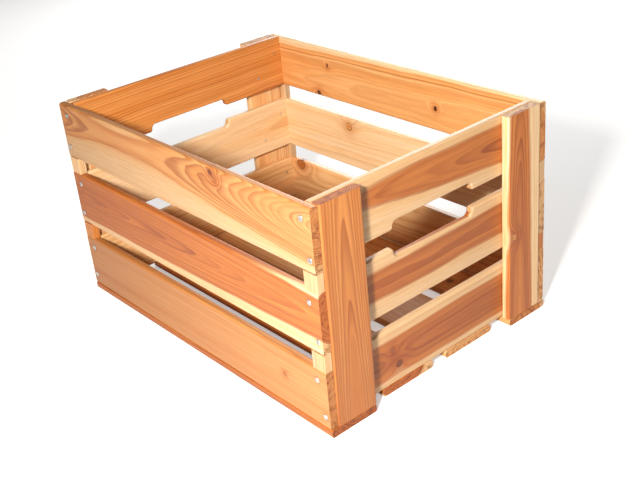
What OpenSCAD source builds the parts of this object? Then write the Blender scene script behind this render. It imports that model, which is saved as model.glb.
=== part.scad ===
// Slatted wooden crate with a finger hold in each short end.
// X runs along the crate, Y across it and Z up. The origin is the middle of the footprint.

/* [Overall size] */
// Length of the long side boards
side_len = 500; // [400:5:650]
// Width over the outer faces of the side boards
crate_w = 366; // [320:2:480]

/* [Wall boards] */
// Height of each wall board
board_h = 75; // [62:1:100]
// Open height between two wall boards
board_gap = 22; // [12:1:40]
// Thickness of the long side boards
side_t = 10.5; // [9:0.5:16]
// Thickness of the short end boards
end_t = 10; // [8:0.5:16]
// Radius that eases the long edges of every board and post
edge_r = 3; // [1:0.5:3.5]

/* [Corner posts] */
// Width of a corner post
post_w = 58; // [45:1:80]
// Thickness of a corner post
post_t = 12; // [10:0.5:20]
// How far a post stands proud of the side boards' ends
post_proud = 1.5; // [0:0.5:3]
// Radius that eases the upright edges of a spacer block
spacer_r = 1; // [0.5:0.5:2]

/* [Floor] */
// Thickness of the floor boards
floor_t = 10; // [8:0.5:16]
// Width of the two outer floor boards
outer_board_w = 67; // [50:1:80]
// Open width between two floor boards
floor_gap = 23; // [8:1:26]

/* [Finger holds] */
// Length of the finger hold between its steep ends
hold_len = 126; // [100:2:140]
// How deep the hold is cut into the board above and the board below
hold_depth = 10; // [8:0.5:14]
// Radius of the outer lip at each end of the cut
hold_lip_r = 4; // [4:0.5:6]

/* [Side nails] */
// Diameter of a side nail's head
side_head_d = 7; // [5:0.5:8]
// Thickness of a side nail's head
side_head_t = 1.2; // [0.8:0.1:1.6]
// How far a side nail's head stands proud of the board
side_head_proud = 0.5; // [0.2:0.1:0.7]
// Diameter of a side nail's shank
side_shank_d = 2.4; // [1.8:0.1:3]
// Length of a side nail under its head
side_nail_len = 34; // [26:1:38]
// Height of a side nail above or below the nearest board edge
side_nail_edge = 15; // [11:1:18]
// Distance of the lower side nail from the board's end
side_nail_end = 7; // [6:0.5:8]

/* [Inside nails] */
// Diameter of the small nail heads that hold the end boards to the posts
inner_head_d = 3.4; // [2.5:0.1:4.5]
// Thickness of an inside nail's head
inner_head_t = 0.8; // [0.6:0.1:1.2]
// Diameter of an inside nail's shank
inner_shank_d = 1.6; // [1.2:0.1:2]
// Length of an inside nail under its head
inner_nail_len = 18; // [14:1:19]
// Height of an inside nail above or below the nearest board edge
inner_nail_edge = 22; // [21:1:28]
// Distance from an inside nail to the nearer upright edge of its post
inner_nail_inset = 12; // [8:1:16]

/* [Floor nails] */
// Diameter of a floor nail's head
floor_head_d = 6; // [4:0.5:8]
// Thickness of a floor nail's head
floor_head_t = 1; // [0.6:0.1:1.4]
// Diameter of a floor nail's shank
floor_shank_d = 2; // [1.6:0.1:2.6]
// Length of a floor nail under its head
floor_nail_len = 28; // [20:1:30]
// How deep a floor nail's head is punched below the floor's underside
floor_nail_set = 0.5; // [0.3:0.1:1]
// Floor nails along each long side between the end boards
floor_nails_per_side = 5; // [3:1:7]
// Distance of the first and last of them from the end boards
side_floor_nail_inset = 15; // [5:1:40]
// Distance of the floor nail in a post from the post's outer upright edge
post_floor_nail = 36; // [33:1:42]
// Distance of the other end nail of an outer floor board from that board's inner edge
outer_floor_nail = 18; // [10:1:24]
// Distance of the nails of a middle floor board from its long edges
middle_floor_nail = 20; // [12:1:26]

/* [Fits] */
// Radial room round every nail in its hole
nail_clear = 0.05; // [0.02:0.01:0.1]

/* [Hidden] */
$fn = 48;
bottom = 0;
middle = 1;
top = 2;
rows = [bottom, middle, top];
sides = [-1, 1];
over = 1;
point_len = 3;
head_bevel = 0.3;

half_l = side_len / 2;
half_w = crate_w / 2;
wall_h = 3 * board_h + 2 * board_gap;
inner_y = half_w - side_t;
post_out = half_l + post_proud;
post_in = post_out - post_t;
end_in = post_in - end_t;
inner_board_w = (crate_w - 2 * outer_board_w - 3 * floor_gap) / 2;
hold_inner_r = hold_depth - hold_lip_r;
hold_half = hold_len / 2;
first_floor_nail_x = side_floor_nail_inset - end_in;
floor_nail_pitch = -2 * first_floor_nail_x / (floor_nails_per_side - 1);
upper_side_nail_x = end_in + end_t / 2;

heartwood = "peru";
sapwood = "burlywood";
honey = "sandybrown";
steel = "gainsboro";

// Height of the lower edge of a row of wall boards
function row_z(row) = floor_t + row * (board_h + board_gap);

// Mirrors what is drawn for the right end and the front side to end sx and side sy
module to_corner(sx, sy) {
    mirror_x(sx < 0) mirror_y(sy > 0) children();
}

module mirror_x(on) {
    if (on) mirror([1, 0, 0]) children();
    else children();
}

module mirror_y(on) {
    if (on) mirror([0, 1, 0]) children();
    else children();
}

// Rectangle a by b with its corners rounded to r
module eased_section(a, b, r) {
    union() {
        translate([r, 0]) square([a - 2 * r, b]);
        translate([0, r]) square([a, b - 2 * r]);
        for (x = [r, a - r], y = [r, b - r]) translate([x, y]) circle(r);
    }
}

// Corner of waste that a round-over of edge_r takes off an edge at the origin
module round_over_section() {
    difference() {
        square(edge_r);
        translate([edge_r, edge_r]) circle(edge_r);
    }
}

// Nail with the top of its head at the origin, pointing down
module nail(head_d, head_t, shank_d, length) {
    rotate_extrude()
        polygon([
            [0, 0],
            [head_d / 2 - head_bevel, 0],
            [head_d / 2, -head_bevel],
            [head_d / 2, -head_t],
            [shank_d / 2, -head_t],
            [shank_d / 2, point_len - head_t - length],
            [0, -head_t - length]
        ]);
}

// Hole for such a nail, open above its head
module nail_hole(head_d, head_t, shank_d, length) {
    translate([0, 0, -head_t]) cylinder(h = head_t + over, d = head_d + 2 * nail_clear);
    translate([0, 0, -head_t - length - nail_clear])
        cylinder(h = length + over, d = shank_d + 2 * nail_clear);
}

// Children drawn once at each side nail of one corner of the front side. The upper nail of a
// board runs into the end board behind it, and the lower nail into the edge of the post.
module at_side_nails(which_rows) {
    for (row = which_rows) {
        at_side_nail(upper_side_nail_x, row_z(row) + board_h - side_nail_edge) children();
        at_side_nail(half_l - side_nail_end, row_z(row) + side_nail_edge) children();
    }
}

module at_side_nail(x, z) {
    translate([x, -half_w - side_head_proud, z]) rotate([90, 0, 0]) children();
}

// Children drawn at the inside nails of one corner: two in each board, set on a diagonal
module at_inner_nails(which_rows) {
    for (row = which_rows) {
        at_inner_nail(inner_nail_inset, row_z(row) + board_h - inner_nail_edge) children();
        at_inner_nail(post_w - inner_nail_inset, row_z(row) + inner_nail_edge) children();
    }
}

module at_inner_nail(across_post, z) {
    translate([end_in, across_post - inner_y, z]) rotate([0, -90, 0]) children();
}

// Children drawn at the floor nails of one corner: one in the post, one in the end board over
// the outer floor board and two in the end board over the middle floor board
module at_corner_floor_nails() {
    at_floor_nail((post_in + post_out) / 2, post_floor_nail - inner_y) children();
    at_floor_nail(upper_side_nail_x, outer_board_w - half_w - outer_floor_nail) children();
    for (across_board = [middle_floor_nail, inner_board_w - middle_floor_nail])
        at_floor_nail(upper_side_nail_x, -floor_gap / 2 - across_board) children();
}

// Children drawn at the floor nails under one long side
module at_side_floor_nails() {
    for (i = [0 : floor_nails_per_side - 1])
        at_floor_nail(first_floor_nail_x + i * floor_nail_pitch, side_t / 2 - half_w) children();
}

module at_floor_nail(x, y) {
    translate([x, y, floor_nail_set]) rotate([180, 0, 0]) children();
}

module side_nail() nail(side_head_d, side_head_t, side_shank_d, side_nail_len);
module side_nail_hole() nail_hole(side_head_d, side_head_t, side_shank_d, side_nail_len);
module inner_nail() nail(inner_head_d, inner_head_t, inner_shank_d, inner_nail_len);
module inner_nail_hole() nail_hole(inner_head_d, inner_head_t, inner_shank_d, inner_nail_len);
module floor_nail() nail(floor_head_d, floor_head_t, floor_shank_d, floor_nail_len);
module floor_nail_hole() nail_hole(floor_head_d, floor_head_t, floor_shank_d, floor_nail_len);

// Long side board of one row; sy is -1 for the front and 1 for the rear
module side_board(row, sy) {
    difference() {
        mirror_y(sy > 0)
            translate([-half_l, -half_w, row_z(row)])
                rotate([90, 0, 90])
                    linear_extrude(side_len) eased_section(side_t, board_h, edge_r);
        for (sx = sides) to_corner(sx, sy) at_side_nails([row]) side_nail_hole();
        if (row == bottom) mirror_y(sy > 0) at_side_floor_nails() floor_nail_hole();
    }
}

// Short end board of one row; sx is -1 for the left end and 1 for the right
module end_board(row, sx) {
    difference() {
        mirror_x(sx < 0) end_board_blank(row);
        for (sy = sides) to_corner(sx, sy) {
            at_side_nails([row]) side_nail_hole();
            at_inner_nails([row]) inner_nail_hole();
        }
        if (row == bottom) {
            for (sy = sides) to_corner(sx, sy) at_corner_floor_nails() floor_nail_hole();
        }
    }
}

// End board before drilling, with its half of the finger hold in the top and middle rows
module end_board_blank(row) {
    difference() {
        translate([end_in, inner_y, row_z(row)])
            rotate([90, 0, 0])
                linear_extrude(2 * inner_y) eased_section(end_t, board_h, edge_r);
        if (row == top) translate([end_in, 0, row_z(top)]) hold_cut();
        if (row == middle) translate([end_in, 0, row_z(middle) + board_h]) mirror([0, 0, 1]) hold_cut();
    }
}

// Waste of half a finger hold, cut upwards from z = 0 through a board that starts at x = 0.
// Both faces are eased all the way along the cut, as the board's long edges are.
module hold_cut() {
    translate([-over, 0, 0]) rotate([90, 0, 90]) linear_extrude(end_t + 2 * over) hold_outline();
    hold_round_over();
    translate([end_t, 0, 0]) mirror([1, 0, 0]) hold_round_over();
}

// Outline of the cut: a flat run, a hollow corner at each end and a rounded lip outside it
module hold_outline() {
    flat = hold_half - hold_inner_r;
    lip = hold_half + hold_lip_r;
    union() {
        translate([-flat, -over]) square([2 * flat, hold_depth + over]);
        translate([-hold_half, -over]) square([2 * hold_half, hold_lip_r + over]);
        for (s = sides) translate([s * flat, hold_lip_r]) circle(hold_inner_r);
        difference() {
            translate([-lip, -over]) square([2 * lip, hold_lip_r + over]);
            for (s = sides) translate([s * lip, hold_lip_r]) circle(hold_lip_r);
        }
    }
}

// Waste of the round-over on the face x = 0: it follows the flat run, both hollow corners
// and both lips
module hold_round_over() {
    flat = hold_half - hold_inner_r;
    translate([0, flat, hold_depth]) rotate([90, 0, 0]) linear_extrude(2 * flat) round_over_section();
    for (s = sides) mirror_y(s < 0) {
        translate([0, flat, hold_lip_r]) rotate([0, 90, 0]) hollow_round_over();
        translate([0, hold_half + hold_lip_r, hold_lip_r]) rotate([0, 90, 0]) lip_round_over();
    }
}

// Quarter turn of the round-over round the outside of a hollow corner
module hollow_round_over() {
    rotate([0, 0, 90]) rotate_extrude(angle = 90)
        translate([hold_inner_r, 0]) round_over_section();
}

// Quarter turn of the round-over round the inside of a lip
module lip_round_over() {
    rotate([0, 0, -90]) rotate_extrude(angle = 90)
        translate([hold_lip_r, 0]) mirror([1, 0]) round_over_section();
}

// Upright post outside the end boards, nailed through the side boards and from inside
module post(sx, sy) {
    difference() {
        to_corner(sx, sy)
            translate([post_in, -inner_y, floor_t])
                linear_extrude(wall_h) eased_section(post_t, post_w, edge_r);
        to_corner(sx, sy) {
            at_side_nails(rows) side_nail_hole();
            at_inner_nails(rows) inner_nail_hole();
            at_corner_floor_nails() floor_nail_hole();
        }
    }
}

// Block that fills the gap between two side boards at a corner; it sits on a row
module spacer(sx, sy, row) {
    to_corner(sx, sy)
        translate([end_in, -half_w, row_z(row) + board_h])
            linear_extrude(board_gap) eased_section(half_l - end_in, side_t, spacer_r);
}

// Outer floor board under a side board and its posts
module outer_floor_board(sy) {
    difference() {
        mirror_y(sy > 0)
            translate([-post_out, -half_w, 0])
                rotate([90, 0, 90])
                    linear_extrude(2 * post_out) eased_section(outer_board_w, floor_t, edge_r);
        mirror_y(sy > 0) at_side_floor_nails() floor_nail_hole();
        for (sx = sides) to_corner(sx, sy) at_corner_floor_nails() floor_nail_hole();
    }
}

// Inner floor board, which ends flush with the end boards
module inner_floor_board(sy) {
    difference() {
        mirror_y(sy > 0)
            translate([-post_in, -floor_gap / 2 - inner_board_w, 0])
                rotate([90, 0, 90])
                    linear_extrude(2 * post_in) eased_section(inner_board_w, floor_t, edge_r);
        for (sx = sides) to_corner(sx, sy) at_corner_floor_nails() floor_nail_hole();
    }
}

module side_nails(sy) {
    for (sx = sides) to_corner(sx, sy) at_side_nails(rows) side_nail();
}

module end_nails(sx) {
    for (sy = sides) to_corner(sx, sy) at_inner_nails(rows) inner_nail();
}

module all_floor_nails() {
    for (sy = sides) {
        mirror_y(sy > 0) at_side_floor_nails() floor_nail();
        for (sx = sides) to_corner(sx, sy) at_corner_floor_nails() floor_nail();
    }
}

module front_side_top() color(honey) side_board(top, -1);
module front_side_middle() color(heartwood) side_board(middle, -1);
module front_side_bottom() color(honey) side_board(bottom, -1);
module rear_side_top() color(honey) side_board(top, 1);
module rear_side_middle() color(sapwood) side_board(middle, 1);
module rear_side_bottom() color(sapwood) side_board(bottom, 1);
module left_end_top() color(honey) end_board(top, -1);
module left_end_middle() color(sapwood) end_board(middle, -1);
module left_end_bottom() color(honey) end_board(bottom, -1);
module right_end_top() color(heartwood) end_board(top, 1);
module right_end_middle() color(heartwood) end_board(middle, 1);
module right_end_bottom() color(honey) end_board(bottom, 1);
module post_front_left() color(honey) post(-1, -1);
module post_front_right() color(heartwood) post(1, -1);
module post_rear_left() color(honey) post(-1, 1);
module post_rear_right() color(heartwood) post(1, 1);
module spacer_front_left_lower() color(heartwood) spacer(-1, -1, bottom);
module spacer_front_left_upper() color(sapwood) spacer(-1, -1, middle);
module spacer_front_right_lower() color(sapwood) spacer(1, -1, bottom);
module spacer_front_right_upper() color(sapwood) spacer(1, -1, middle);
module spacer_rear_left_lower() color(sapwood) spacer(-1, 1, bottom);
module spacer_rear_left_upper() color(sapwood) spacer(-1, 1, middle);
module spacer_rear_right_lower() color(sapwood) spacer(1, 1, bottom);
module spacer_rear_right_upper() color(sapwood) spacer(1, 1, middle);
module floor_front() color(heartwood) outer_floor_board(-1);
module floor_middle_front() color(heartwood) inner_floor_board(-1);
module floor_middle_rear() color(sapwood) inner_floor_board(1);
module floor_rear() color(heartwood) outer_floor_board(1);
module front_side_nails() color(steel) side_nails(-1);
module rear_side_nails() color(steel) side_nails(1);
module left_end_nails() color(steel) end_nails(-1);
module right_end_nails() color(steel) end_nails(1);
module floor_nails() color(steel) all_floor_nails();

front_side_top();
front_side_middle();
front_side_bottom();
rear_side_top();
rear_side_middle();
rear_side_bottom();
left_end_top();
left_end_middle();
left_end_bottom();
right_end_top();
right_end_middle();
right_end_bottom();
post_front_left();
post_front_right();
post_rear_left();
post_rear_right();
spacer_front_left_lower();
spacer_front_left_upper();
spacer_front_right_lower();
spacer_front_right_upper();
spacer_rear_left_lower();
spacer_rear_left_upper();
spacer_rear_right_lower();
spacer_rear_right_upper();
floor_front();
floor_middle_front();
floor_middle_rear();
floor_rear();
front_side_nails();
rear_side_nails();
left_end_nails();
right_end_nails();
floor_nails();
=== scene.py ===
# %% [markdown]
# # A slatted wooden crate
#
# This lesson puts the looks on a wooden crate that is already built: 28 planed boards, posts and
# spacer blocks, and the nails that hold them. The crate's frame gives every piece at its real size
# and place, in metres, with X along the crate, Y across it and Z up. What is left to make is what
# the eye reads as wood: growth rings cut by the saw, knots, pale sapwood beside orange heartwood,
# end grain, a thin satin lacquer, and the bright heads of the nails.

# %% Load the crate
import math

import bpy
from mathutils import Matrix, Vector


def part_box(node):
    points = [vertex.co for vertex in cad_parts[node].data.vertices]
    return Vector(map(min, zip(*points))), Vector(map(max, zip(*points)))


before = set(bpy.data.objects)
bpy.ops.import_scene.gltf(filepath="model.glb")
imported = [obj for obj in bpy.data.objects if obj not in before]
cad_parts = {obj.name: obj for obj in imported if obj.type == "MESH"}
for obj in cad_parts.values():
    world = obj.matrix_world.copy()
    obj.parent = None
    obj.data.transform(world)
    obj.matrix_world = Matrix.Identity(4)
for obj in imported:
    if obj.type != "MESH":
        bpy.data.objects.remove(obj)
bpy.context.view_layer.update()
print("pieces in the frame:", len(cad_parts))

# %% [markdown]
# ## The camera
#
# A photographer who stood at the near right corner looked down on the crate from about a metre.
# A camera in Blender can be turned with Euler angles or aimed with a constraint, but here the view
# is tilted a little as well, so the three axes of the camera are worked out and put in a matrix.
# The focal length was measured in pixels of a picture 640 wide, and a lens is given in
# millimetres on a sensor 36 mm wide, so one line turns the first into the second.

# %% Camera
picture_w = 640
focal_px = 1028.0
sensor_mm = 36
eye = Vector((0.9518, -0.7387, 0.7097))
heading, dip, tilt = math.radians(141.14), math.radians(-27.47), math.radians(-5.53)

ahead = Vector((math.cos(dip) * math.cos(heading), math.cos(dip) * math.sin(heading), math.sin(dip)))
level_right = ahead.cross(Vector((0, 0, 1))).normalized()
level_up = level_right.cross(ahead)
right = math.cos(tilt) * level_right + math.sin(tilt) * level_up
up = math.cos(tilt) * level_up - math.sin(tilt) * level_right

camera = bpy.data.objects.new("camera", bpy.data.cameras.new("camera"))
camera.data.sensor_width = sensor_mm
camera.data.lens = focal_px * sensor_mm / picture_w
camera.matrix_world = Matrix.Translation(eye) @ Matrix((right, up, -ahead)).transposed().to_4x4()
bpy.context.scene.collection.objects.link(camera)
bpy.context.scene.camera = camera
crate_middle = Vector((0, 0, 0.14))
print("lens %.1f mm, %.2f m from the crate" % (camera.data.lens, (eye - crate_middle).length))

# %% [markdown]
# ## The bench for materials
#
# A wood material is mostly arithmetic: how far is this point from the middle of the tree, and what
# colour is the wood there? Blender does such sums with Math nodes, which are slow to wire by hand.
# The small class below wraps a socket, so that a Python expression such as `1 - mask` or
# `radius / width` adds the right Math node by itself. `Bench.node` adds any other node: it takes
# the node's type, then its settings, then what goes into its sockets.

# %% Reading
def sum_of_two(operation, swapped=False):
    """A method that adds one Math node. The swapped ones serve sums such as 1 - reading."""
    def method(self, other):
        values = [other, self] if swapped else [self, other]
        return self.bench.node("ShaderNodeMath", {"operation": operation}, values)
    return method


def sum_of_one(operation):
    """A method that adds a Math node with one input."""
    def method(self):
        return self.bench.node("ShaderNodeMath", {"operation": operation}, [self])
    return method


class Reading:
    """A value that varies over a surface: it wraps an output socket and can be used in sums."""

    __add__ = sum_of_two("ADD")
    __radd__ = sum_of_two("ADD", swapped=True)
    __sub__ = sum_of_two("SUBTRACT")
    __rsub__ = sum_of_two("SUBTRACT", swapped=True)
    __mul__ = sum_of_two("MULTIPLY")
    __rmul__ = sum_of_two("MULTIPLY", swapped=True)
    __truediv__ = sum_of_two("DIVIDE")
    __pow__ = sum_of_two("POWER")
    __abs__ = sum_of_one("ABSOLUTE")
    root = sum_of_one("SQRT")
    fraction = sum_of_one("FRACT")
    whole = sum_of_one("FLOOR")
    sine = sum_of_one("SINE")
    exponent = sum_of_one("EXPONENT")

    def __init__(self, bench, socket):
        self.bench, self.socket = bench, socket

    def step(self, low, high):
        """0 below low, 1 above high and a smooth ramp between. With low above high it falls."""
        settings = {"interpolation_type": "SMOOTHSTEP"}
        if low > high:
            return 1 - self.step(high, low)
        return self.bench.node("ShaderNodeMapRange", settings, [self, low, high, 0.0, 1.0])


print("a reading knows these sums:", [name for name in vars(Reading) if callable(vars(Reading)[name])])

# %% Bench
class Bench:
    """Where one material is made."""

    def __init__(self, name):
        self.material = bpy.data.materials.new(name)
        self.material.use_nodes = True
        self.tree = self.material.node_tree
        self.shader = self.tree.nodes["Principled BSDF"]

    def node(self, kind, settings=None, values=(), output=0):
        """Adds a node: its settings come first, then what goes into its sockets."""
        made = self.tree.nodes.new(kind)
        for key, value in (settings or {}).items():
            setattr(made, key, value)
        for key, value in values.items() if isinstance(values, dict) else enumerate(values):
            self.feed(made.inputs[key], value)
        return Reading(self, made.outputs[output])

    def feed(self, socket, value):
        """Puts a reading or a plain value into a socket."""
        if isinstance(value, Reading):
            self.tree.links.new(value.socket, socket)
        else:
            socket.default_value = value

    def mix(self, first, second, share, blend="MIX"):
        """Colour that goes from first to second as share goes from 0 to 1."""
        settings = {"data_type": "RGBA", "blend_type": blend}
        return self.node("ShaderNodeMix", settings, {0: share, 6: first, 7: second}, 2)

    def point(self, x, y, z):
        return self.node("ShaderNodeCombineXYZ", None, [x, y, z])

    def noise(self, x, y, z, detail=2.0, rough=0.5):
        """Soft noise from 0 to 1 at a point whose patches are about 1 wide."""
        values = {"Vector": self.point(x, y, z), "Scale": 1.0, "Detail": detail, "Roughness": rough}
        return self.node("ShaderNodeTexNoise", {"noise_dimensions": "3D"}, values)

    def bands(self, value, detail):
        """Noise that depends on one value only, so it draws bands."""
        values = {"W": value, "Scale": 1.0, "Detail": detail}
        return self.node("ShaderNodeTexNoise", {"noise_dimensions": "1D"}, values)


print("a bench can:", [name for name in vars(Bench) if not name.startswith("_")])

# %% [markdown]
# ## Tones of the wood
#
# All the boards come from one kind of softwood. Its sapwood is cream, and its heartwood runs from
# honey over orange to brown. The tones are given as the share of red, green and blue light that
# the lacquered wood sends back, which is what a shader's Base Color means.

# %% Tones
TONES = {
    "cream": (0.84, 0.60, 0.36, 1),
    "straw": (0.82, 0.52, 0.25, 1),
    "honey": (0.80, 0.42, 0.16, 1),
    "amber": (0.72, 0.30, 0.08, 1),
    "orange": (0.62, 0.21, 0.04, 1),
    "russet": (0.46, 0.13, 0.024, 1),
    "brown": (0.33, 0.09, 0.018, 1),
    "knot": (0.17, 0.038, 0.009, 1),
    "bark": (0.05, 0.012, 0.004, 1),
}
print("tones, pale to dark:", list(TONES))

# %% [markdown]
# ## How a board is cut from a tree
#
# A growth ring is a long, slightly tapered tube round the pith, the middle of the tree. Where the
# saw cuts the tubes at a flat angle, they show as tall arches, and where it cuts them square, as
# straight lines. Painting such lines by hand on six faces of a board never agrees at the edges.
# So each board gets a pith line in its own real place: the distance from it is the ring radius, on
# every face at once, and the arches, the straight grain and the rings on the end grain all follow.

# %% Where a point lies in its board
MM = 1000
AXES = {"X": 0, "Y": 1, "Z": 2}
seed_step = 37.0  # how far apart the pieces' patterns start, so that no two are alike
SEEDS = {name: seed_step * count for count, name in enumerate(sorted(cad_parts))}


class Board:
    """One piece of wood: where it lies, and readings along, across and through it in mm."""

    def __init__(self, name, grain):
        low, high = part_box(name)
        size = high - low
        self.seed = SEEDS[name]
        self.middle = (low + high) / 2
        along = AXES[grain]
        others = [axis for axis in range(3) if axis != along]
        across, through = sorted(others, key=lambda axis: -size[axis])
        self.order = [along, across, through]
        self.half = [size[axis] * MM / 2 for axis in self.order]
        self.bench = Bench(name)
        place = self.bench.node("ShaderNodeTexCoord", output=3)
        self.along, self.across, self.through = self.readings(place, self.middle, MM)

    def readings(self, vector, zero, scale):
        split = [self.bench.node("ShaderNodeSeparateXYZ", None, [vector], axis) for axis in self.order]
        return [(reading - zero[axis]) * scale for reading, axis in zip(split, self.order)]

    def noise(self, long, wide, offset=0.0, detail=2.0, rough=0.5):
        """Noise drawn out along the grain: long by wide, in mm."""
        x = self.along / long + (self.seed + offset)
        return self.bench.noise(x, self.across / wide, self.through / wide, detail, rough)


print("pieces with a pattern of their own:", len(SEEDS))

# %% The distance from the pith
def ring_radius(board, pith, lean, bow, knots):
    """How far each point is from the pith, bent a little by the tree's growth and round knots."""
    sway, swell = 4.0, 1.5
    reach_across, reach_along = 2.2, 2.2 * 1.6
    along, across, through = board.along, board.across, board.through
    side = across - (along * lean[0] + pith[0])
    depth = through - (along * lean[1] + pith[1] + (along - bow[0]) ** 2 * bow[1])
    radius = (side * side + depth * depth).root() + (board.noise(120, 30) - 0.5) * sway
    for knot_along, knot_across, size, _ in knots:
        near_along = (along - knot_along) / (reach_along * size)
        near_across = (across - knot_across) / (reach_across * size)
        near = near_along ** 2 + near_across ** 2
        radius = radius + (near * -1).exponent() * (swell * size)
    return radius


print("boards that need a pith line:", sum(not name.endswith("nails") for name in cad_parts))

# %% [markdown]
# ## From rings to colour
#
# Each year's ring starts pale and ends in a thin dark line of dense latewood. Some years are wide
# and some thin, so the ring count is stretched by noise before its fraction is taken. Over that lie
# broader bands of lighter and darker years, the change from heartwood to sapwood, and fine fibres
# drawn out along the grain.

# %% Rings, sapwood and fibres
def latewood(board, radius, width):
    """The dark line at the end of each ring: it fades in over the ring, stronger in some years."""
    years_in_a_spell, spell_strength, weakest = 3, 2.2, 0.25
    spells = board.bench.bands(radius / (years_in_a_spell * width) + board.seed, 1.0)
    years = radius / width + spells * spell_strength
    phase = years.fraction()
    line = phase.step(0.20, 0.90) * phase.step(1.0, 0.92)
    year = {"W": years.whole() + board.seed}
    strength = board.bench.node("ShaderNodeTexWhiteNoise", {"noise_dimensions": "1D"}, year)
    return line * (strength * (1 - weakest) + weakest)


def tint(depth):
    """Tint that darkens by depth, for darker wood and for painted shade: it loses blue first, then green.
    """
    return (depth, depth ** 1.3, depth ** 1.6, 1)


def clear_wood(board, radius, heart, heart_edge):
    """Colour between the ring lines, and 1 in the heartwood and 0 in the sapwood."""
    bench = board.bench
    band_width, streak_length, streak_width = 9, 260, 6
    band = bench.bands(radius / band_width + board.seed + 5, 2.0).step(0.34, 0.66)
    streak = board.noise(streak_length, streak_width, 11, 2.0).step(0.36, 0.64)
    share = band * 0.6 + streak * 0.4
    colour = bench.mix(TONES[heart[0]], TONES[heart[1]], share)
    if not heart_edge:
        return colour, 1.0
    soft, ragged_by = 1.6, 2.0
    pale = bench.mix(TONES["cream"], TONES["straw"], share)
    ragged = radius + (board.noise(60, 2.5, 3) - 0.5) * ragged_by
    inner = 1 - ragged.step(heart_edge - soft, heart_edge + soft)
    return bench.mix(pale, colour, inner), inner


def wood_colour(board, radius, ring, heart, heart_edge, contrast, depth):
    """Colour of the wood without knots, its ring lines and its fibres."""
    bench = board.bench
    ring_tint, fibre_tint = (0.56, 0.36, 0.20, 1), (0.72, 0.52, 0.36, 1)
    pale_fibre_tint = (1.14, 1.18, 1.24, 1)
    colour, inner = clear_wood(board, radius, heart, heart_edge)
    line = latewood(board, radius, ring)
    in_heart, in_sapwood = 0.85, 0.30
    shown = line * ((inner * (in_heart - in_sapwood) + in_sapwood) * contrast)
    colour = bench.mix(colour, ring_tint, shown, "MULTIPLY")
    fibre_length, fibre_width = 42, 0.75
    fibre = board.noise(fibre_length, fibre_width, 7, 3.0, 0.6)
    colour = bench.mix(colour, fibre_tint, fibre.step(0.50, 0.70) * 0.42, "MULTIPLY")
    colour = bench.mix(colour, pale_fibre_tint, fibre.step(0.48, 0.32) * 0.55, "MULTIPLY")
    # Painted shade: the depth pair darkens the board towards its first end. This is partly the wood's own
    # tone and partly the lamp's falloff, painted in.
    place = board.along / (2 * board.half[0]) + 0.5
    colour = bench.mix(colour, bench.mix(tint(depth[0]), tint(depth[1]), place), 1.0, "MULTIPLY")
    return colour, line, fibre


print("tint of wood at depth 0.8:", [round(part, 2) for part in tint(0.8)])

# %% [markdown]
# ## Knots
#
# A knot is the foot of a branch. Seen from its end it is a dark disc with rings of its own and a
# rim of bark, in a halo of stained wood, and the grain of the trunk flows round it. The flow is
# already in the ring radius, so here the disc and the halo are laid over the colour.

# %% Knots
def add_knots(board, colour, knots):
    """Lays the knots over the colour. Also gives 1 at the cracked rim of each."""
    bench = board.bench
    halo_tint, halo_fall, rings_a_radius = (0.70, 0.42, 0.22, 1), 0.16, 7.5
    hole = 0.0
    for count, (knot_along, knot_across, size, core) in enumerate(knots):
        stretch = 1.0 + 0.12 * math.sin(5.1 * count + board.seed)
        across = (board.across - knot_across) * stretch
        along = (board.along - knot_along) / stretch
        wobble = board.noise(4.0, 4.0, 20 + count, 1.0) * 0.5 + 0.75
        away = (along * along + across * across).root() * wobble
        halo = (away * away * (-halo_fall / size ** 2)).exponent()
        colour = bench.mix(colour, halo_tint, halo * 0.75, "MULTIPLY")
        disc = away.step(size * 1.02, size * 0.84)
        rings = (away * (rings_a_radius / size)).sine() * 0.25 + 0.25
        heart = bench.mix(TONES[core], TONES["knot"], rings)
        rim = away.step(size * 0.62, size * 0.88)
        colour = bench.mix(colour, bench.mix(heart, TONES["bark"], rim * 0.8), disc)
        hole = rim * disc + hole
    return colour, hole


print("tones inside a knot:", TONES["knot"][:3], TONES["bark"][:3])

# %% [markdown]
# ## Nails bruise the wood
#
# A hammer leaves a shallow dimple round each head, and the steel stains the fibres there. The
# nails' places aren't written down again: they are read from the nails' own meshes, by gathering
# the points of a group of nails that lie within a few millimetres of each other.

# %% Where the nails are
# Each group's nails are driven along one axis, and their heads lie at its low or its high end.
NAIL_HEADS = {
    "front_side_nails": ("Y", 0), "rear_side_nails": ("Y", 1),
    "left_end_nails": ("X", 1), "right_end_nails": ("X", 0),
    "floor_nails": ("Z", 0),
}


def nail_heads(name):
    """Middle of each nail's head and the head's radius, in metres."""
    axis, end = NAIL_HEADS[name]
    drive, side = AXES[axis], (AXES[axis] + 1) % 3
    apart = 0.008  # points of one nail lie closer together than this
    nails = []
    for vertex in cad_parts[name].data.vertices:
        flat = vertex.co.copy()
        flat[drive] = 0
        nail = next((nail for nail in nails if (nail[0] - flat).length < apart), None)
        if nail is None:
            nails.append([flat, vertex.co.copy(), vertex.co.copy()])
            continue
        nail[1] = Vector(map(min, nail[1], vertex.co))
        nail[2] = Vector(map(max, nail[2], vertex.co))
    heads = []
    for _, *corners in nails:
        head = (corners[0] + corners[1]) / 2
        head[drive] = corners[end][drive]
        heads.append((head, (corners[1] - corners[0])[side] / 2))
    return heads


HEADS = {name: nail_heads(name) for name in NAIL_HEADS}
print("nails found:", {name: len(heads) for name, heads in HEADS.items()})


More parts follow.
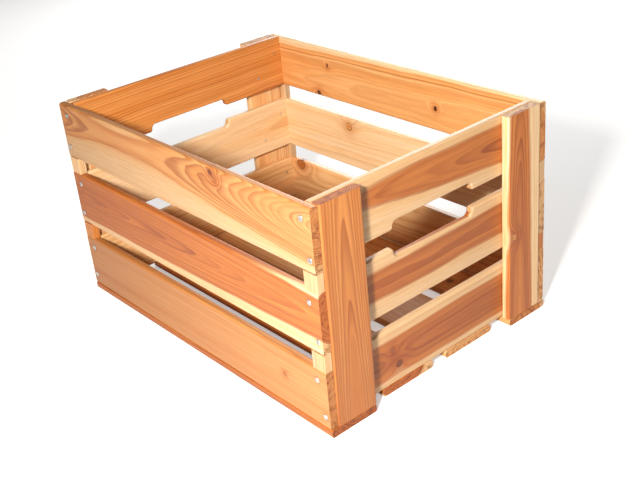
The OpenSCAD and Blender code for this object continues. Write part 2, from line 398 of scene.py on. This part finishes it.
def heads_on(board):
    """Nail heads that lie on this board: place along and across it, and radius, in mm."""
    found = []
    near_face = 1.0  # a head lies this close to the board's face
    for name, heads in HEADS.items():
        if AXES[NAIL_HEADS[name][0]] != board.order[2]:
            continue
        for head, radius in heads:
            offset = [(head - board.middle)[axis] * MM for axis in board.order]
            on_face = abs(abs(offset[2]) - board.half[2]) < near_face
            if on_face and abs(offset[0]) < board.half[0] and abs(offset[1]) < board.half[1]:
                found.append((offset[0], offset[1], radius * MM))
    return found


# %% Dimples round the nails
def add_dimples(board, colour):
    """Darkens the wood round each nail head. Also gives how deep the dimple is there."""
    bench = board.bench
    stain = (0.62, 0.50, 0.42, 1)
    dimple = 0.0
    for nail_along, nail_across, radius in heads_on(board):
        along = board.along - nail_along
        across = board.across - nail_across
        away = (along * along + across * across).root()
        mark = away.step(radius * 1.9, radius * 0.95)
        dimple = mark + dimple
    if isinstance(dimple, Reading):
        colour = bench.mix(colour, stain, dimple * 0.55, "MULTIPLY")
    return colour, dimple


print("nail heads that dimple a board:", sum(len(heads) for heads in HEADS.values()))

# %% [markdown]
# ## End grain, and eased edges with wear and a painted highlight
#
# Where the saw cut across the fibres, their open ends drink the lacquer: end grain is darker and
# duller, and blotches, ring lines, fine cracks and pores show in it. The long edges were eased with
# a cutter and are handled most, and they are painted a little paler: partly wear, and partly a
# painted highlight where the rounded edges catch the lamp. A point is on end grain where the
# surface faces along the grain, which the surface normal tells.

# %% End grain, and eased edges with wear and a painted highlight
def add_end_grain(board, colour, line):
    """Darkens the sawn ends. Also gives 1 on the ends and 0 on the faces, and the pores."""
    bench = board.bench
    normal = bench.node("ShaderNodeTexCoord", output=1)
    end = abs(board.readings(normal, (0, 0, 0), 1.0)[0]).step(0.55, 0.85)
    pores_a_mm = 1.4
    at = [reading * pores_a_mm for reading in (board.along, board.across, board.through)]
    pores = bench.noise(*at, 3.0, 0.7)
    blotch = board.noise(7, 7, 31, 2.0, 0.6).step(0.48, 0.66)
    cracked = board.noise(200, 1.4, 37, 2.0).step(0.60, 0.66)
    layers = (
        ((0.86, 0.76, 0.66, 1), end * 0.9),
        ((0.52, 0.36, 0.24, 1), end * blotch * 0.8),
        ((0.60, 0.45, 0.32, 1), end * (line * 0.6 + cracked * 0.6)),
        ((0.60, 0.50, 0.40, 1), end * pores.step(0.45, 0.75) * 0.6),
    )
    for layer_tint, share in layers:
        colour = bench.mix(colour, layer_tint, share, "MULTIPLY")
    return colour, end, pores


edge_wide, edge_narrow = 3.4, 0.6


def add_wear_and_highlight(board, colour, end):
    """Lightens the wood along the eased edges: partly wear, partly a painted highlight."""
    wear_and_highlight_tint = (1.10, 1.12, 1.16, 1)
    inset = (board.half[1] - abs(board.across)) + (board.half[2] - abs(board.through))
    # Painted highlight and wear: every eased edge is lightened, as if rubbed and catching the lamp.
    worn_and_highlit = inset.step(edge_wide, edge_narrow) * (1 - end)
    return board.bench.mix(colour, wear_and_highlight_tint, worn_and_highlit * 0.7, "MULTIPLY")


print("edges are worn over", edge_wide, "mm")

# %% A finished board
def finish_board(name, pith, ring, heart, grain="X", lean=(0, 0), bow=(0, 0), heart_edge=None,
                 knots=(), contrast=1.0, depth=(1, 1)):
    """Makes one board's material and puts it on the board. Gives the number of its nodes."""
    board = Board(name, grain)
    bench, shader = board.bench, board.bench.shader
    radius = ring_radius(board, pith, lean, bow, knots)
    colour, line, fibre = wood_colour(board, radius, ring, heart, heart_edge, contrast, depth)
    colour, end, pores = add_end_grain(board, colour, line)
    colour, hole = add_knots(board, colour, knots)
    colour, dimple = add_dimples(board, colour)
    colour = add_wear_and_highlight(board, colour, end)

    rough = 0.44 + fibre * 0.10 - line * 0.06 + end * 0.30
    height = fibre * 0.012 + line * 0.010 - hole * 0.10 - dimple * 0.16 - end * pores * 0.05
    bump = bench.node("ShaderNodeBump", None, {"Strength": 1.0, "Distance": 1 / MM, "Height": height})

    bench.feed(shader.inputs["Base Color"], colour)
    bench.feed(shader.inputs["Roughness"], rough)
    bench.feed(shader.inputs["Normal"], bump)
    shader.inputs["Coat Weight"].default_value = 0.18
    shader.inputs["Coat Roughness"].default_value = 0.30
    shader.inputs["IOR"].default_value = 1.5

    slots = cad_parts[name].data.materials
    slots.clear()
    slots.append(bench.material)
    return len(bench.tree.nodes)


print("a finish is ready for every board")

# %% [markdown]
# ## The timber, board by board
#
# Below is what the maker would see when laying the boards out: which way the grain runs, where the
# pith of each board's tree lies from the board's middle, across it and through it, how the pith
# leans or bows along the board, how wide the rings are, how far out the heartwood goes, and where
# the knots are. All lengths are in millimetres. A knot is its place along, its place across, its
# radius and the tone of its middle. The heart is a pair of tones, the contrast is how strong the
# ring lines are, and the depth darkens a board from its first end to its last: partly the wood's
# own darker tone, and partly painted shade where the lamp's light falls off along the outer faces.

# %% Timber of the front side
# The depth pairs darken boards towards their first end. They are partly the wood's own tone and partly
# painted shade of the lamp's falloff.
TIMBER = {
    "front_side_top": dict(
        pith=(19, 40), bow=(-100, -0.00028), ring=2.6, heart=("honey", "amber"), heart_edge=47,
        knots=[(84, 31, 3.0, "knot"), (91, 23, 3.4, "russet")], depth=(0.56, 0.80)),
    "front_side_middle": dict(
        pith=(7, 9), lean=(0, 0.040), ring=2.6, heart=("orange", "russet"), heart_edge=35.5,
        depth=(0.72, 0.98)),
    "front_side_bottom": dict(
        pith=(-95, 60), lean=(0.01, 0.01), ring=2.4, heart=("honey", "amber"), contrast=0.8,
        knots=[(177, 4, 2.6, "russet")], depth=(0.55, 0.80)),
}
print("boards chosen:", len(TIMBER))

# %% Timber of the rear side
TIMBER.update({
    "rear_side_top": dict(
        pith=(-12, -70), lean=(0, 0.01), ring=2.8, heart=("honey", "amber"), heart_edge=78,
        knots=[(-125, 12, 2.6, "knot"), (83, -7, 3.2, "bark"), (-148, -33, 4.0, "bark")]),
    "rear_side_middle": dict(
        pith=(-40, 55), lean=(0.02, 0), ring=4.0, heart=("cream", "straw"), contrast=0.5,
        knots=[(-88, 25, 6.3, "amber")]),
    "rear_side_bottom": dict(
        pith=(30, 60), lean=(0, 0.03), ring=4.0, heart=("straw", "honey"), contrast=0.6,
        knots=[(-207, 31, 8.5, "russet")]),
})
print("boards chosen:", len(TIMBER))

# %% Timber of the right end
TIMBER.update({
    "right_end_top": dict(
        grain="Y", pith=(9, -16.5), lean=(-0.0475, 0.05), ring=2.6, heart=("orange", "russet"),
        heart_edge=28.8, depth=(0.8, 0.8)),
    "right_end_middle": dict(
        grain="Y", pith=(3, -30), lean=(0.005, 0.004), ring=3.0, heart=("orange", "russet"),
        heart_edge=40, depth=(0.8, 0.8)),
    "right_end_bottom": dict(
        grain="Y", pith=(-1.5, -15), lean=(0, 0.01), ring=3.0, heart=("orange", "russet"),
        heart_edge=33, knots=[(-75, 8, 4.0, "brown"), (-66, -14, 5.0, "knot")], depth=(0.8, 0.8)),
})
print("boards chosen:", len(TIMBER))

# %% Timber of the left end
TIMBER.update({
    "left_end_top": dict(
        grain="Y", pith=(-60, -50), lean=(0.01, 0.01), ring=2.6, heart=("amber", "orange")),
    "left_end_middle": dict(
        grain="Y", pith=(-3, -60), lean=(0.02, 0.02), ring=4.0, heart=("straw", "honey"),
        heart_edge=63, contrast=0.5),
    "left_end_bottom": dict(
        grain="Y", pith=(40, 45), lean=(0.01, 0), ring=3.4, heart=("straw", "honey"), contrast=0.6),
})
print("boards chosen:", len(TIMBER))

# %% Timber of the posts
TIMBER.update({
    "post_front_right": dict(
        grain="Z", pith=(0, -12), lean=(0, -0.03), ring=2.4, heart=("amber", "orange"),
        depth=(0.72, 0.8)),
    "post_rear_right": dict(
        grain="Z", pith=(-9.5, 26), lean=(0, 0.03), ring=2.6, heart=("orange", "russet"),
        heart_edge=29, knots=[(-22, -18.5, 4.4, "amber")]),
    "post_front_left": dict(
        grain="Z", pith=(20, 30), lean=(0.02, 0), ring=2.8, heart=("honey", "amber"), heart_edge=46),
    "post_rear_left": dict(
        grain="Z", pith=(-30, -40), lean=(0.01, 0.02), ring=3.0, heart=("straw", "honey"),
        contrast=0.7),
})
print("boards chosen:", len(TIMBER))

# %% Timber of the floor
TIMBER.update({
    "floor_front": dict(
        pith=(10, 25), lean=(0, 0.03), ring=2.6, heart=("orange", "russet"), depth=(0.7, 0.8)),
    "floor_middle_front": dict(
        pith=(-12, 30), lean=(0.01, 0.02), ring=2.8, heart=("orange", "russet"), heart_edge=47,
        knots=[(-90, 12, 5.5, "russet")]),
    "floor_middle_rear": dict(
        pith=(25, -50), lean=(0, 0.02), ring=3.4, heart=("straw", "honey"), contrast=0.7),
    "floor_rear": dict(
        pith=(-8, -22), lean=(0, 0.02), ring=2.8, heart=("honey", "orange"), heart_edge=38,
        knots=[(130, -10, 5.0, "knot")]),
})
print("boards chosen:", len(TIMBER))

# %% Timber of the spacer blocks
# The blocks are offcuts set on end, so their fibres run upright.
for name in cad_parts:
    if not name.startswith("spacer_"):
        continue
    brown = name in ("spacer_front_left_lower", "spacer_rear_right_lower")
    TIMBER[name] = dict(
        grain="Z", pith=(25 + 9 * math.sin(SEEDS[name]), -30), ring=2.4,
        heart=("amber", "orange") if brown else ("cream", "straw"), contrast=0.7, depth=(0.8, 0.8))

# %% All the boards
nodes_used = [finish_board(name, **cut) for name, cut in TIMBER.items()]
print("boards finished:", len(TIMBER), "with", min(nodes_used), "to", max(nodes_used), "nodes each")

# %% [markdown]
# ## Bright steel
#
# The nails are drawn wire with a flat head. A metal takes its colour from what it reflects, so the
# steel only needs a pale grey that dulls in patches, a roughness that changes with them, and a
# little bump for the marks of the hammer. One material serves all the nails, because its noise
# follows the place in the crate and so differs from nail to nail.

# %% Nails
def nail_steel():
    """Pale steel, dull in patches, with small hammer marks."""
    bench = Bench("nail_steel")
    place = bench.node("ShaderNodeTexCoord", output=3)
    marks = bench.node("ShaderNodeTexNoise", None, {"Vector": place, "Scale": 900.0, "Detail": 2.0})
    tarnish = bench.node("ShaderNodeTexNoise", None, {"Vector": place, "Scale": 260.0, "Detail": 3.0})
    dull = tarnish.step(0.42, 0.68)
    shader = bench.shader
    bench.feed(shader.inputs["Base Color"], bench.mix((0.82, 0.82, 0.80, 1), (0.46, 0.44, 0.40, 1), dull))
    bench.feed(shader.inputs["Roughness"], 0.24 + marks * 0.14 + dull * 0.18)
    height = marks * 0.08
    bump = bench.node("ShaderNodeBump", None, {"Strength": 1.0, "Distance": 1 / MM, "Height": height})
    bench.feed(shader.inputs["Normal"], bump)
    shader.inputs["Metallic"].default_value = 1.0
    return bench.material


steel = nail_steel()
for name in NAIL_HEADS:
    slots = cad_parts[name].data.materials
    slots.clear()
    slots.append(steel)
print("nail groups finished:", len(NAIL_HEADS))

# %% [markdown]
# ## Floor and light
#
# The crate stands on a plain pale floor. One lamp does most of the work: it stands to the left of
# the camera, about a metre and a half from the crate, so that the near corner is brighter than the
# far one and the front side's shadow falls into the crate. A wide, weaker lamp behind lights the
# far sides, and weak light from all round fills the rest. The floor also glows a little, but only
# where the eye meets it: the Light Path node tells such rays, so the glow lights no wood.

# %% Floor
floor_mesh = bpy.data.meshes.new("floor")
reach, glow = 14.0, 0.42
corners = [(-reach, -reach, 0), (reach, -reach, 0), (reach, reach, 0), (-reach, reach, 0)]
floor_mesh.from_pydata(corners, [], [(0, 1, 2, 3)])
ground = bpy.data.objects.new("studio_floor", floor_mesh)
bpy.context.scene.collection.objects.link(ground)
paper = Bench("studio_paper")
paper.shader.inputs["Base Color"].default_value = (0.80, 0.80, 0.80, 1)
paper.shader.inputs["Roughness"].default_value = 0.9
paper.shader.inputs["Emission Strength"].default_value = 1.0
seen = paper.node("ShaderNodeLightPath")
paper.feed(paper.shader.inputs["Emission Color"], paper.mix((0, 0, 0, 1), (glow, glow, glow, 1), seen))
floor_mesh.materials.append(paper.material)
print("floor of", 2 * reach, "m")

# %% Lamps and room light
def stand_lamp(name, place, size, watts, colour):
    """Stands a square lamp at a place in metres and turns it to the crate."""
    target = Vector((0.0, 0.0, 0.12))
    lamp = bpy.data.objects.new(name, bpy.data.lights.new(name, "AREA"))
    lamp.data.size = size
    lamp.data.energy = watts
    lamp.data.color = colour
    lamp.location = place
    lamp.rotation_mode = "QUATERNION"
    lamp.rotation_quaternion = (target - lamp.location).to_track_quat("-Z", "Y")
    bpy.context.scene.collection.objects.link(lamp)
    print(name, "stands", round((target - lamp.location).length, 2), "m from the crate")


stand_lamp("key_lamp", (0.80, -1.05, 0.88), 0.14, 38, (1.0, 0.97, 0.92))
stand_lamp("back_lamp", (-1.3, 1.5, 0.75), 1.0, 26, (1.0, 0.98, 0.95))

room = bpy.data.worlds.new("room")
room.use_nodes = True
room.node_tree.nodes["Background"].inputs["Color"].default_value = (1.0, 1.0, 1.0, 1)
room.node_tree.nodes["Background"].inputs["Strength"].default_value = 0.14
bpy.context.scene.world = room
bpy.context.scene.view_settings.view_transform = "Standard"

# %% [markdown]
# ## Done
#
# Nothing of the crate's frame was moved: every piece stands where the frame puts it.
